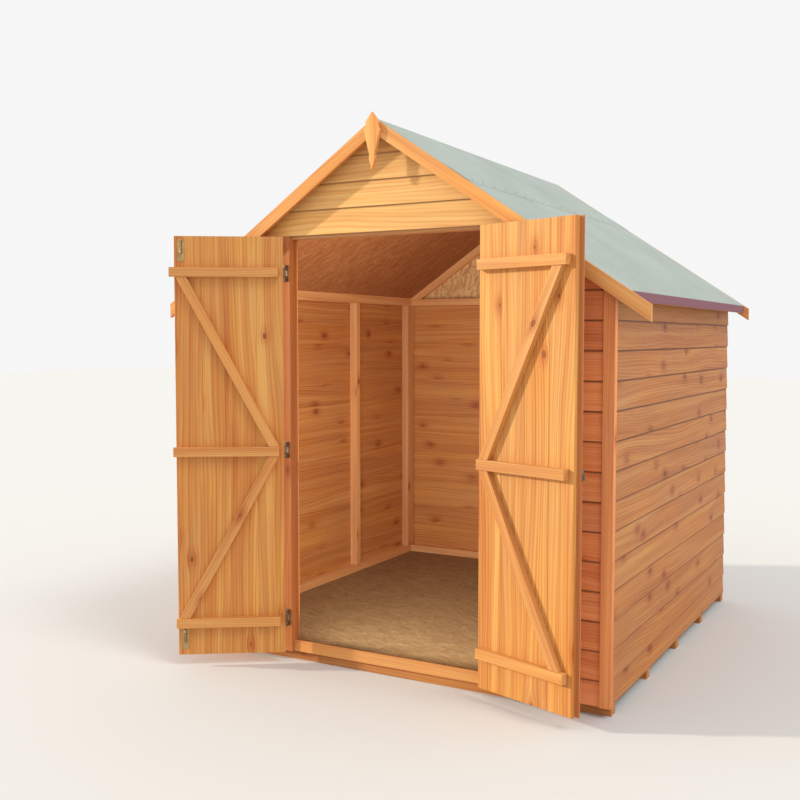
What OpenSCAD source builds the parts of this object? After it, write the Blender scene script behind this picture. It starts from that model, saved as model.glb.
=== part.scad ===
// Apex garden shed of overlap boards on a boarded floor, with a pair of braced doors in the
// front gable end. +X is right and +Y is back, seen from the front; the ground is z = 0 and
// the origin lies under the middle of the floor.

/* [Shed] */
// Width over the corner trims
shed_w = 1820; // [1500:2:2400]
// Depth over the wall cladding
shed_d = 1850; // [1500:10:2600]
// Height of the ridge above the ground
ridge_h = 2120; // [2095:5:2560]
// Slope of the roof in degrees
roof_pitch = 34; // [30:0.1:36]

/* [Floor] */
// Height of a floor bearer
bearer_h = 64; // [50:1:76]
// Width of a floor bearer
bearer_w = 44; // [30:1:70]
// Number of floor bearers
bearer_n = 5; // [3, 5, 7]
// Thickness of the floor panel
floor_t = 12; // [9:1:18]
// Thickness of the sill board across the doorway
sill_t = 10; // [6:1:14]
// Height that the sill board stands above the floor
sill_up = 4; // [2:1:12]

/* [Walls] */
// Thickness of the overlap cladding at its laps
clad_t = 15; // [12:1:20]
// Height of the lower edge of the cladding above the ground
clad_z = 36; // [15:1:50]
// Depth of the wall framing, from the cladding inwards
frame_d = 40; // [32:1:60]
// Face width of a stud or rail
frame_w = 36; // [28:1:50]
// Height of the outer edge of the rail at the top of the side walls
wall_rail_h = 16; // [10:1:40]
// Thickness of a corner trim
trim_t = 8; // [5:1:12]
// Width of a corner trim on the front
trim_front_w = 42; // [30:1:60]
// Width of a corner trim on the side
trim_side_w = 28; // [20:1:60]

/* [Roof] */
// Thickness of a roof board
roof_t = 11; // [8:1:18]
// Thickness of the roofing felt
felt_t = 2.5; // [1.5:0.5:4]
// Distance from the wall face to the edge of a roof board at the eaves
eave_reach = 66; // [30:1:100]
// Roof board past the front cladding
front_reach = 42; // [20:1:42]
// Roof board past the back cladding
back_reach = 12; // [5:1:80]
// Thickness of the batten under the eaves
eave_batten_t = 20; // [12:1:30]
// Height of the felted edge at the eaves
eave_edge_h = 37; // [25:1:60]
// Lower edge of the ridge felt, measured level from the ridge
ridge_felt_x = 388; // [250:1:480]
// Level overlap of the ridge felt on the felt below it
felt_lap = 66; // [40:1:100]
// Height of a gable rafter, square to the slope
rafter_h = 38; // [30:1:60]
// Thickness of the board lining the back gable
lining_t = 9; // [6:1:12]
// Thickness of a barge board
barge_t = 15; // [10:1:22]
// Width of a barge board, square to the slope
barge_w = 47; // [35:1:50]
// Barge board past the edge of a roof board, measured level
barge_tail = 26; // [20:1:60]
// The same for the long tail at the front right
barge_tail_long = 76; // [30:1:120]
// Thickness of the finial
finial_t = 14; // [8:1:22]
// Height of the finial
finial_h = 215; // [150:1:260]
// Width of the finial at its shoulders
finial_w = 70; // [50:1:90]
// Height of the finial above the ridge
finial_up = 19; // [10:1:40]

/* [Doorway] */
// Clear width between the door posts
open_w = 842; // [700:1:1010]
// Height of a door leaf
leaf_h = 1658; // [1380:1:1680]
// Height of the lower edge of a door leaf above the ground
leaf_z = 46; // [10:1:60]
// Thickness of the door boards
leaf_t = 15; // [12:1:20]
// Lap of a closed leaf onto the wall beside the doorway
leaf_lap = 3.5; // [1:0.5:8]
// Gap between a closed leaf and the wall, and between the two leaves
leaf_gap = 5; // [5:0.5:10]
// Height of the head rail
head_h = 44; // [36:1:70]
// Part of the head rail that shows below the gable cladding
head_show = 12; // [5:1:25]
// Opening angle at which the left leaf stands
left_open = 146; // [0:1:162]
// Opening angle at which the right leaf stands
right_open = 162; // [0:1:162]

/* [Door ledges and braces] */
// Height of a ledge
ledge_h = 37; // [30:1:50]
// Thickness of a ledge
ledge_t = 28; // [18:1:32]
// Depth of the ledges' upper edges below the top of the leaf
ledge_drops = [122, 826, 1508];
// How far the left leaf's ledges reach past its free edge
left_ledge_over = [18, 9, 5];
// Inset of the left leaf's ledges at the hinge edge
left_ledge_inset = 18; // [18:1:40]
// Inset of the right leaf's ledges at the hinge edge
right_ledge_inset = 10; // [10:1:40]
// Inset of the right leaf's ledges at the free edge
right_free_inset = 20; // [20:1:40]
// Width of a brace
brace_w = 36; // [28:1:45]
// Thickness of a brace
brace_t = 24; // [14:1:28]
// Inset of the left leaf's braces from the free edge
left_brace_inset = 6; // [0:1:60]
// Inset of the right leaf's braces from the free edge
right_brace_inset = 40; // [30:1:60]
// Inset of a brace's end from the hinge edge
brace_hinge_inset = 18; // [18:1:40]
// Width of the strip that covers the meeting edge
cover_w = 46; // [36:1:60]
// How far the cover strip reaches past the free edge
cover_over = 16; // [10:1:20]
// Thickness of the cover strip
cover_t = 10; // [7:1:14]

/* [Ironmongery] */
// Radius of a hinge knuckle
knuckle_r = 5; // [4:0.5:6]
// Radius of a hinge pin
pin_r = 2.5; // [2:0.25:3]
// Height of a hinge plate
plate_h = 64; // [50:1:100]
// Width of a hinge plate
plate_w = 34; // [25:1:36]
// Thickness of the hinge metal
hinge_t = 3; // [2:0.5:4]
// Length of a hinge strap from its pin
strap_len = 280; // [200:1:340]
// Height of the hinge knuckle on the strap
strap_knuckle_h = 22; // [16:1:30]
// Width of a hinge strap at the knuckle
strap_w = 38; // [28:1:46]
// Width of a hinge strap at its tip
strap_tip_w = 20; // [14:1:26]
// Radius of a bolt's sliding rod
rod_r = 3.5; // [3:0.25:4]
// Length of a bolt's back plate
bolt_plate_h = 84; // [70:1:100]
// Width of a bolt's back plate
bolt_plate_w = 28; // [22:1:34]
// Length of a bolt's barrel
barrel_h = 50; // [40:1:56]
// Radius of a bolt's barrel
barrel_r = 5.5; // [5:0.25:6]
// Travel of a bolt
bolt_travel = 30; // [20:1:32]
// Distance from the end of the bottom bolt's plate to its barrel
bottom_barrel_up = 30; // [28:1:34]
// Distance from the free edge to the middle of a bolt
bolt_inset = 27; // [22:1:60]
// Distance from the leaf's top edge to the top bolt's plate
top_bolt_drop = 14; // [12:1:20]
// Distance from the leaf's lower edge to the bottom bolt's plate
bottom_bolt_up = 23; // [10:1:40]

/* [Hidden] */
$fn = 48;

// Walls: faces of the cladding and of the framing, measured from the middle
clad_x = shed_w / 2 - trim_t;
frame_x = clad_x - clad_t;
inner_x = frame_x - frame_d;
clad_y = shed_d / 2;
frame_y = clad_y - clad_t;
inner_y = frame_y - frame_d;
floor_z = bearer_h + floor_t;
rail_top_z = floor_z + frame_w;
wall_studs_y = [-inner_y + frame_w / 2, -inner_y / 3, inner_y / 3, inner_y - frame_w / 2];
back_studs_x = [-inner_x / 3, inner_x / 3];
post_x = open_w / 2 + frame_w;          // far side of a door post

// Roof: every line is a drop from the felt's ridge, at a level distance x from the middle
slope = tan(roof_pitch);
felt_rise = felt_t / cos(roof_pitch);
board_rise = roof_t / cos(roof_pitch);
rafter_rise = rafter_h / cos(roof_pitch);
barge_rise = barge_w / cos(roof_pitch);
eave_x = clad_x + eave_reach;
roof_front_y = -clad_y - front_reach;
roof_back_y = clad_y + back_reach;
felt_skin = 0.1;   // air between two layers of felt
roof_skin = 0.02;  // air that keeps sloping faces from sharing their rounding
apex_gap = 0.25;   // half the saw cut between two rafters at the ridge

function felt_z(x) = ridge_h - abs(x) * slope;
function board_z(x) = felt_z(x) - felt_rise;
function under_z(x) = board_z(x) - board_rise;
function rafter_z(x) = under_z(x) - rafter_rise - roof_skin;
function under_x(z) = (under_z(0) - z) / slope;

wall_rail_z = floor(under_z(frame_x) - wall_rail_h);

// Doorway and leaves
leaf_w = open_w / 2 + leaf_lap - leaf_gap / 2;
leaf_top = leaf_z + leaf_h;
gable_z = leaf_top + leaf_gap;
head_z = gable_z - head_show;
sill_top = floor_z + sill_up;
pin_gap = knuckle_r;                    // from the pin's axis to the leaf's edge and face
pin_x = open_w / 2 + leaf_lap + pin_gap;
pin_y = -(clad_y + leaf_gap + leaf_t + pin_gap);
free_u = pin_gap + leaf_w;
inner_v = pin_gap + leaf_t;
ledge_z = [for (drop = ledge_drops) leaf_top - drop - ledge_h];
pin_clear = 0.05;                       // running fit of a pin in its knuckle
knuckle_clear = 0.3;                    // air between stacked knuckles

// Bolts: the rod stands far enough off the leaf to enter the board over the doorway
rod_share = 0.43;                       // the rod's place in the thickness of that board
rod_v = inner_v + leaf_gap + clad_t * rod_share;
bolt_u = free_u - bolt_inset;
top_plate_z = leaf_top - top_bolt_drop - bolt_plate_h;
bottom_plate_z = leaf_z + bottom_bolt_up;
top_barrel_down = 4;
plate_t = 2;
rod_run = 0.06;                         // running fit of a rod in its barrel
keep_clear = 1;                         // room round a thrown rod in the board
keep_end = 11;                          // room past the end of a thrown rod
knob_r = 3;
knob_out = 12;
knob_stop = 4;                          // from the barrel's end to the knob of a thrown bolt
knob_back = bolt_travel + knob_stop;
rod_tip = 4;                            // rod left standing out of the drawn bolt
keep_top_z = top_plate_z + bolt_plate_h - top_barrel_down + rod_tip + bolt_travel + keep_end;

timber = "peru";
pale_timber = "sandybrown";
sheet = "burlywood";
felt_colour = "darkseagreen";
steel = "silver";
brass = "goldenrod";

// A box between two corners
module block(low, high) {
    translate(low) cube(high - low);
}

// An outline drawn in x and z, thickened from y0 to y1
module upright(y0, y1, points) {
    translate([0, y1, 0]) rotate([90, 0, 0]) linear_extrude(y1 - y0) polygon(points);
}

// The same piece on both sides
module both_sides() {
    children();
    mirror([1, 0, 0]) children();
}

// A stretch of the roof's thickness between two level distances and two plumb rises
module slope_piece(x0, x1, low, high, y0, y1) {
    upright(y0, y1, [
        [x0, felt_z(x0) - low], [x1, felt_z(x1) - low],
        [x1, felt_z(x1) - high], [x0, felt_z(x0) - high],
    ]);
}

// ---- floor

module floor_bearers() {
    first = -frame_y + sill_t + bearer_w / 2;
    last = frame_y - bearer_w / 2;
    color(timber) for (i = [0 : bearer_n - 1]) {
        y = first + (last - first) * i / (bearer_n - 1);
        block([-frame_x, y - bearer_w / 2, 0], [frame_x, y + bearer_w / 2, bearer_h]);
        // the ends run on under the side walls
        block([-clad_x, y - bearer_w / 2, 0], [clad_x, y + bearer_w / 2, clad_z]);
    }
}

module floor_panel() {
    color(sheet) block([-frame_x, -frame_y + sill_t, bearer_h], [frame_x, frame_y, floor_z]);
}

module door_sill() {
    color(pale_timber)
        block([-open_w / 2, -frame_y, clad_z], [open_w / 2, -frame_y + sill_t, sill_top]);
}

// ---- framing

// A post of the front or back wall, bevelled to sit under the gable rafter
module wall_post(x0, x1, y0, y1) {
    upright(y0, y1, [[x0, floor_z], [x1, floor_z], [x1, rafter_z(x1)], [x0, rafter_z(x0)]]);
}

// The door posts stand forward to the face of the boards
module front_wall_posts() {
    color(timber) both_sides() {
        block([open_w / 2, -clad_y, clad_z], [post_x, -frame_y, gable_z]);
        difference() {
            wall_post(open_w / 2, post_x, -frame_y, -inner_y);
            // the sill board stands up in front of the floor panel
            block([0, -frame_y - 1, floor_z - 1], [open_w / 2, -frame_y + sill_t, sill_top]);
        }
        wall_post(inner_x, frame_x, -frame_y, -inner_y);
    }
}

module front_wall_bottom_rails() {
    color(timber) both_sides()
        block([post_x, -frame_y, floor_z], [inner_x, -inner_y, rail_top_z]);
}

module door_head_rail() {
    color(timber) block([-open_w / 2, -frame_y, head_z], [open_w / 2, -inner_y, head_z + head_h]);
}

module side_wall_studs() {
    color(timber) both_sides() for (y = wall_studs_y)
        block([inner_x, y - frame_w / 2, rail_top_z], [frame_x, y + frame_w / 2, wall_rail_z]);
}

module side_wall_rails() {
    color(timber) both_sides() {
        block([inner_x, -inner_y, floor_z], [frame_x, inner_y, rail_top_z]);
        upright(-inner_y, inner_y, [
            [inner_x, wall_rail_z], [frame_x, wall_rail_z],
            [frame_x, under_z(frame_x)], [inner_x, under_z(inner_x)],
        ]);
    }
}

module back_wall_studs() {
    color(timber) {
        both_sides() wall_post(inner_x, frame_x, inner_y, frame_y - lining_t);
        for (x = back_studs_x)
            block([x - frame_w / 2, inner_y, rail_top_z], [x + frame_w / 2, frame_y, wall_rail_z]);
    }
}

module back_wall_rails() {
    color(timber) {
        block([-inner_x, inner_y, floor_z], [inner_x, frame_y, rail_top_z]);
        block([-inner_x, inner_y, wall_rail_z], [inner_x, frame_y, wall_rail_z + frame_w]);
    }
}

module gable_rafters(y0, y1, floor_line) {
    both_sides() difference() {
        slope_piece(apex_gap, frame_x, felt_rise + board_rise,
            felt_rise + board_rise + rafter_rise, y0, y1);
        if (floor_line > 0)
            block([0, y0 - 1, floor_line - ridge_h], [inner_x, y1 + 1, floor_line]);
    }
}

module front_gable_rafters() {
    color(timber) gable_rafters(-frame_y, -inner_y, 0);
}

module back_gable_rafters() {
    color(timber) gable_rafters(inner_y, frame_y - lining_t, wall_rail_z + frame_w);
}

module back_gable_lining() {
    low = wall_rail_z + frame_w;
    edge = min(inner_x, under_x(low));
    color(sheet) upright(frame_y - lining_t, frame_y, [
        [-edge, low], [edge, low], [edge, under_z(edge)], [0, under_z(0)], [-edge, under_z(edge)],
    ]);
}

// ---- cladding

// Front wall beside the doorway, cut under the roof where the eaves are lower than the gable board
module front_side_cladding() {
    eave = under_z(clad_x);
    top = eave < gable_z
        ? [[clad_x, eave], [under_x(gable_z), gable_z]]
        : [[clad_x, gable_z]];
    color(timber) upright(-clad_y, -frame_y,
        concat([[post_x, clad_z], [clad_x, clad_z]], top, [[post_x, gable_z]]));
}

module front_left_cladding() {
    mirror([1, 0, 0]) front_side_cladding();
}

module front_right_cladding() {
    front_side_cladding();
}

module front_gable_cladding() {
    eave = under_z(clad_x);
    edge = min(under_x(gable_z), clad_x);
    right = eave < gable_z ? [[edge, gable_z]] : [[edge, gable_z], [edge, eave]];
    left = eave < gable_z ? [[-edge, gable_z]] : [[-edge, eave], [-edge, gable_z]];
    color(pale_timber) difference() {
        upright(-clad_y, -frame_y, concat(right, [[0, under_z(0)]], left));
        // hole that the top bolt is thrown into
        translate([-pin_x + bolt_u, pin_y + rod_v, gable_z - 1])
            cylinder(r = rod_r + keep_clear, h = keep_top_z - gable_z + 1);
    }
}

module side_cladding() {
    color(timber) upright(-frame_y, clad_y, [
        [frame_x, clad_z], [clad_x, clad_z],
        [clad_x, under_z(clad_x)], [frame_x, under_z(frame_x)],
    ]);
}

module left_wall_cladding() {
    mirror([1, 0, 0]) side_cladding();
}

module right_wall_cladding() {
    side_cladding();
}

module back_wall_cladding() {
    color(timber) block([-frame_x, frame_y, clad_z], [frame_x, clad_y, under_z(frame_x)]);
}

module back_gable_cladding() {
    low = under_z(frame_x);
    color(timber) upright(frame_y, clad_y, [[-frame_x, low], [frame_x, low], [0, under_z(0)]]);
}

module corner_trim() {
    side_end = -clad_y - trim_t + trim_side_w;
    color(pale_timber) intersection() {
        union() {
            block([shed_w / 2 - trim_front_w, -clad_y - trim_t, clad_z],
                [shed_w / 2, -clad_y, ridge_h]);
            block([clad_x, -clad_y - trim_t, clad_z], [shed_w / 2, side_end, ridge_h]);
        }
        upright(-shed_d, shed_d, [
            [0, 0], [shed_w, 0], [shed_w, under_z(shed_w)], [0, under_z(0)],
        ]);
    }
}

module left_corner_trim() {
    mirror([1, 0, 0]) corner_trim();
}

module right_corner_trim() {
    corner_trim();
}

// ---- roof

module roof_board() {
    color(sheet) slope_piece(0, eave_x, felt_rise + roof_skin, felt_rise + board_rise - roof_skin,
        roof_front_y, roof_back_y);
}

module left_roof_board() {
    mirror([1, 0, 0]) roof_board();
}

module right_roof_board() {
    roof_board();
}

module eave_battens() {
    inside = eave_x - eave_batten_t;
    low = felt_z(eave_x) - eave_edge_h;
    color(timber) both_sides() upright(roof_front_y, roof_back_y, [
        [inside, low], [eave_x, low], [eave_x, under_z(eave_x)], [inside, under_z(inside)],
    ]);
}

// Felt from under the ridge strip down to the eaves, folded down over the edge
module side_felt() {
    top_x = ridge_felt_x - felt_lap;
    edge_x = eave_x + felt_t;
    low = felt_z(eave_x) - eave_edge_h;
    color(felt_colour) upright(roof_front_y, roof_back_y, [
        [top_x, board_z(top_x)], [top_x, felt_z(top_x)], [edge_x, felt_z(edge_x)],
        [edge_x, low], [eave_x, low], [eave_x, board_z(eave_x)],
    ]);
}

module left_felt() {
    mirror([1, 0, 0]) side_felt();
}

module right_felt() {
    side_felt();
}

// Felt strip folded over the ridge; it steps up where it laps the side felts
module ridge_felt() {
    step_x = ridge_felt_x - felt_lap - felt_t;
    foot = felt_skin;
    half = [
        [step_x, board_z(step_x)], [step_x, felt_z(step_x) + foot],
        [ridge_felt_x, felt_z(ridge_felt_x) + foot],
        [ridge_felt_x, felt_z(ridge_felt_x) + felt_rise],
        [step_x, felt_z(step_x) + felt_rise], [step_x - felt_lap, felt_z(step_x - felt_lap)],
    ];
    other = [for (i = [len(half) - 1 : -1 : 0]) [-half[i][0], half[i][1]]];
    color(felt_colour) upright(roof_front_y, roof_back_y,
        concat([[0, board_z(0)]], half, [[0, felt_z(0)]], other));
}

module barge(tail, y0, y1) {
    color(pale_timber) slope_piece(0, eave_x + tail, 0, barge_rise, y0, y1);
}

module front_left_barge() {
    mirror([1, 0, 0]) barge(barge_tail, roof_front_y - barge_t, roof_front_y);
}

module front_right_barge() {
    barge(barge_tail_long, roof_front_y - barge_t, roof_front_y);
}

module back_left_barge() {
    mirror([1, 0, 0]) barge(barge_tail, roof_back_y, roof_back_y + barge_t);
}

module back_right_barge() {
    barge(barge_tail, roof_back_y, roof_back_y + barge_t);
}

// Flat spearhead: half widths as shares of the shoulders, heights as shares of the drop
module finial() {
    outline = [[0, 0], [0.8, 0.17], [0.74, 0.21], [1, 0.31], [0.32, 0.73], [0.38, 0.79], [0, 1]];
    top = ridge_h + finial_up;
    right = [for (p = outline) [p[0] * finial_w / 2, top - p[1] * finial_h]];
    left = [for (i = [len(right) - 2 : -1 : 1]) [-right[i][0], right[i][1]]];
    face = roof_front_y - barge_t;
    color(pale_timber) upright(face - finial_t, face, concat(right, left));
}

// ---- hinges: drawn about the pin, with u along the closed leaf and v into the shed

function hinge_z(i) = ledge_z[i] + ledge_h / 2;

module at_left_pin(angle) {
    translate([-pin_x, pin_y, 0]) rotate([0, 0, -angle]) children();
}

module at_right_pin(angle) {
    translate([pin_x, pin_y, 0]) mirror([1, 0, 0]) rotate([0, 0, -angle]) children();
}

// Plate on the wall, cranked forward to carry two knuckles and the pin
module hinge_plate() {
    wall_v = -clad_y - pin_y;
    knuckle_h = (plate_h - strap_knuckle_h) / 2 - knuckle_clear;
    block([-plate_w, wall_v - hinge_t, -plate_h / 2], [0, wall_v, plate_h / 2]);
    for (side = [-1, 1]) {
        z = side > 0 ? plate_h / 2 - knuckle_h : -plate_h / 2;
        translate([0, 0, z]) {
            cylinder(r = knuckle_r, h = knuckle_h);
            block([-knuckle_r, 0, 0], [0, wall_v, knuckle_h]);
        }
    }
    translate([0, 0, -plate_h / 2]) cylinder(r = pin_r, h = plate_h);
}

module hinge_plates() {
    color(steel) for (i = [0 : len(ledge_z) - 1]) translate([0, 0, hinge_z(i)]) hinge_plate();
}

module left_hinge_plates() {
    at_left_pin(0) hinge_plates();
}

module right_hinge_plates() {
    at_right_pin(0) hinge_plates();
}

// Tapered strap on the leaf's outer face with its knuckle round the pin
module hinge_strap() {
    neck = knuckle_r + 2;
    difference() {
        union() {
            translate([0, 0, -strap_knuckle_h / 2]) cylinder(r = knuckle_r, h = strap_knuckle_h);
            block([0, pin_gap - hinge_t, -strap_knuckle_h / 2], [neck, pin_gap, strap_knuckle_h / 2]);
            upright(pin_gap - hinge_t, pin_gap, [
                [neck, -strap_w / 2], [strap_len, -strap_tip_w / 2],
                [strap_len + strap_tip_w / 4, 0],
                [strap_len, strap_tip_w / 2], [neck, strap_w / 2],
            ]);
        }
        translate([0, 0, -strap_knuckle_h]) cylinder(r = pin_r + pin_clear, h = 2 * strap_knuckle_h);
    }
}

module hinge_straps() {
    color(steel) for (i = [0 : len(ledge_z) - 1]) translate([0, 0, hinge_z(i)]) hinge_strap();
}

// ---- door leaves

module door_boards() {
    color(pale_timber) block([pin_gap, pin_gap, leaf_z], [free_u, inner_v, leaf_top]);
}

// Braces rise from the hinge edge at the middle ledge to the free edge at the other two
module door_braces(free_inset) {
    low_u = pin_gap + brace_hinge_inset;
    high_u = free_u - free_inset;
    color(timber) for (pair = [[1, 0], [1, 2]]) {
        up = pair[1] < pair[0];
        z_hinge = ledge_z[pair[0]] + (up ? ledge_h : 0);
        z_free = ledge_z[pair[1]] + (up ? 0 : ledge_h);
        rise = abs(z_free - z_hinge);
        foot = brace_w * norm([rise, high_u - low_u]) / rise;
        upright(inner_v, inner_v + brace_t, [
            [low_u, z_hinge], [low_u + foot, z_hinge],
            [high_u, z_free], [high_u - foot, z_free],
        ]);
    }
}

module left_door_boards() {
    at_left_pin(left_open) door_boards();
}

// The ledges reach behind the other leaf, clear of its boards
module left_door_ledges() {
    at_left_pin(left_open) color(timber) for (i = [0 : len(ledge_z) - 1]) {
        low = [pin_gap + left_ledge_inset, inner_v, ledge_z[i]];
        block(low, [free_u, inner_v + ledge_t, ledge_z[i] + ledge_h]);
        block([free_u - 1, inner_v + leaf_gap, ledge_z[i]],
            [free_u + left_ledge_over[i], inner_v + ledge_t, ledge_z[i] + ledge_h]);
    }
}

module left_door_braces() {
    at_left_pin(left_open) door_braces(left_brace_inset);
}

module left_door_hinge_straps() {
    at_left_pin(left_open) hinge_straps();
}

// Back plate and barrel of a bolt, its outer end up, slotted for the knob
module bolt_barrel(end) {
    top = bolt_plate_h - end;
    low = top - barrel_h;
    web_share = 0.8;
    web_r = barrel_r * web_share;
    difference() {
        union() {
            block([-bolt_plate_w / 2, inner_v, 0], [bolt_plate_w / 2, inner_v + plate_t, bolt_plate_h]);
            block([-web_r, inner_v, low], [web_r, rod_v, top]);
            translate([0, rod_v, low]) cylinder(r = barrel_r, h = barrel_h);
        }
        translate([0, rod_v, low - 1]) cylinder(r = rod_r + rod_run, h = barrel_h + 2);
        block([-knob_r - keep_clear, rod_v, top - knob_back - knob_r - keep_clear],
            [knob_r + keep_clear, rod_v + barrel_r + 1, top + 1]);
    }
}

// Drawn rod, with its knob standing off the leaf
module bolt_rod(end) {
    top = bolt_plate_h - end;
    translate([0, rod_v, top - barrel_h]) cylinder(r = rod_r, h = barrel_h + rod_tip);
    translate([0, rod_v, top - knob_back]) rotate([-90, 0, 0]) cylinder(r = knob_r, h = knob_out);
}

module at_top_bolt() {
    at_left_pin(left_open) translate([bolt_u, 0, top_plate_z]) children();
}

module at_bottom_bolt() {
    at_left_pin(left_open) translate([bolt_u, 0, bottom_plate_z + bolt_plate_h])
        mirror([0, 0, 1]) children();
}

module left_door_bolt_barrels() {
    color(brass) {
        at_top_bolt() bolt_barrel(top_barrel_down);
        at_bottom_bolt() bolt_barrel(bottom_barrel_up);
    }
}

module top_bolt_rod() {
    color(brass) at_top_bolt() bolt_rod(top_barrel_down);
}

module bottom_bolt_rod() {
    color(brass) at_bottom_bolt() bolt_rod(bottom_barrel_up);
}

module right_door_boards() {
    at_right_pin(right_open) door_boards();
}

module right_door_ledges() {
    at_right_pin(right_open) color(timber) for (z = ledge_z)
        block([pin_gap + right_ledge_inset, inner_v, z],
            [free_u - right_free_inset, inner_v + ledge_t, z + ledge_h]);
}

module right_door_braces() {
    at_right_pin(right_open) door_braces(right_brace_inset);
}

module right_door_hinge_straps() {
    at_right_pin(right_open) hinge_straps();
}

// Strip on the outer face of the right leaf; its lap stands clear of the left leaf
module right_door_cover_strip() {
    face = pin_gap - cover_t;
    start = free_u + cover_over - cover_w;
    at_right_pin(right_open) color(pale_timber) {
        block([start, face, leaf_z], [free_u, pin_gap, leaf_top]);
        block([free_u - 1, face, leaf_z], [free_u + cover_over, pin_gap - leaf_gap, leaf_top]);
    }
}

// Hasp on the cover strip at the middle ledge, with the ring of its turning staple
module right_door_hasp() {
    face = pin_gap - cover_t;
    z = hinge_z(1);
    hasp_h = 40;
    hasp_w = 24;
    hasp_t = 2.5;
    ring_r = 9;
    at_right_pin(right_open) color(steel) {
        block([free_u + cover_over - hasp_w, face - hasp_t, z - hasp_h / 2],
            [free_u + cover_over + hasp_t, face, z + hasp_h / 2]);
        block([free_u + cover_over, face - hasp_t, z - hasp_h / 2],
            [free_u + cover_over + hasp_t, pin_gap - leaf_gap, z + hasp_h / 2]);
        translate([free_u + cover_over + hasp_t, face - hasp_t, z - hasp_h / 4]) rotate([-90, 0, 0])
            cylinder(r = ring_r, h = hasp_t);
    }
}

floor_bearers();
floor_panel();
door_sill();
front_wall_posts();
front_wall_bottom_rails();
door_head_rail();
side_wall_studs();
side_wall_rails();
back_wall_studs();
back_wall_rails();
front_gable_rafters();
back_gable_rafters();
back_gable_lining();
front_left_cladding();
front_right_cladding();
front_gable_cladding();
left_wall_cladding();
right_wall_cladding();
back_wall_cladding();
back_gable_cladding();
left_corner_trim();
right_corner_trim();
left_roof_board();
right_roof_board();
eave_battens();
left_felt();
right_felt();
ridge_felt();
front_left_barge();
front_right_barge();
back_left_barge();
back_right_barge();
finial();
left_hinge_plates();
right_hinge_plates();
left_door_boards();
left_door_ledges();
left_door_braces();
left_door_hinge_straps();
left_door_bolt_barrels();
top_bolt_rod();
bottom_bolt_rod();
right_door_boards();
right_door_ledges();
right_door_braces();
right_door_hinge_straps();
right_door_cover_strip();
right_door_hasp();
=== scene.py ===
# Apex garden shed with overlap boards and a pair of braced doors.
# Metres, +X to the right, +Y to the back, +Z up, ground at z = 0.
import math
import random

import bmesh
import bpy
from mathutils import Matrix, Vector


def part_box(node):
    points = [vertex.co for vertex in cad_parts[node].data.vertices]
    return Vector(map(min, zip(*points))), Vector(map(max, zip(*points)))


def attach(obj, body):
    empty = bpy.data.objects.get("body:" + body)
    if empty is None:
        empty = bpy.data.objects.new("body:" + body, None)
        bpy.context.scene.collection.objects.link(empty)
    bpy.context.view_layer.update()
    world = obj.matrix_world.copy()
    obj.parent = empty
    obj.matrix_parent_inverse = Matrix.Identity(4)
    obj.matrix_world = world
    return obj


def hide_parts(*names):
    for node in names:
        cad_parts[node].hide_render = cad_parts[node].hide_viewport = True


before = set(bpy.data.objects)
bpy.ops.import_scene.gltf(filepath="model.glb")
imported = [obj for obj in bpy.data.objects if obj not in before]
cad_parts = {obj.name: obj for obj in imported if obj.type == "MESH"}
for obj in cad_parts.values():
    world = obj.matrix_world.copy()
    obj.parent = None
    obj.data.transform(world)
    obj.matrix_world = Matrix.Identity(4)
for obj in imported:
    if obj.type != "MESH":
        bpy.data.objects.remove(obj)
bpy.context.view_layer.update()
scene = bpy.context.scene
print("frame loaded")


# Small helpers
def mm(value):
    return value / 1000


def newPiece(name, mesh, body, slotName, material, *nodes):
    piece = bpy.data.objects.new(name, mesh)
    scene.collection.objects.link(piece)
    mesh.materials.clear()
    mesh.materials.append(material)
    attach(piece, body)
    if nodes:
        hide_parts(*nodes)
    return piece


def meshFrom(work, name):
    mesh = bpy.data.meshes.new(name)
    work.to_mesh(mesh)
    work.free()
    return mesh


def blankFrom(work, name):
    # a board or head that Geometry Nodes copies; it is removed once they have run
    blank = bpy.data.objects.new(name, meshFrom(work, name))
    scene.collection.objects.link(blank)
    return blank


def smoothed(mesh, sharpAngle):
    for face in mesh.polygons:
        face.use_smooth = True
    mesh.set_sharp_from_angle(angle=math.radians(sharpAngle))
    return mesh


def nodeCopy(node):
    # a merged copy of a node's loose triangles, with its flat faces whole again
    work = bmesh.new()
    work.from_mesh(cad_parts[node].data)
    bmesh.ops.remove_doubles(work, verts=work.verts, dist=1e-6)
    bmesh.ops.dissolve_limit(work, angle_limit=math.radians(0.5), verts=work.verts, edges=work.edges)
    return work


def easedEdges(work, ease, sharpAngle):
    sharp = [edge for edge in work.edges if edge.calc_face_angle(0) > math.radians(sharpAngle)]
    bmesh.ops.bevel(work, geom=sharp, offset=mm(ease), offset_type="OFFSET", segments=2,
                    profile=0.6, affect="EDGES", clamp_overlap=True)


def addNode(tree, kind, **settings):
    made = tree.nodes.new(kind)
    for key, value in settings.items():
        setattr(made, key, value)
    return made


def plug(tree, source, target):
    if isinstance(source, (int, float, tuple, list)):
        target.default_value = source
    else:
        tree.links.new(source, target)


def calc(tree, operation, first, second=None, third=None, clamp=False):
    made = addNode(tree, "ShaderNodeMath", operation=operation, use_clamp=clamp)
    for i, value in enumerate((first, second, third)):
        if value is not None:
            plug(tree, value, made.inputs[i])
    return made.outputs[0]


def vectorOf(tree, x, y, z):
    made = addNode(tree, "ShaderNodeCombineXYZ")
    for i, value in enumerate((x, y, z)):
        plug(tree, value, made.inputs[i])
    return made.outputs[0]


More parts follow.
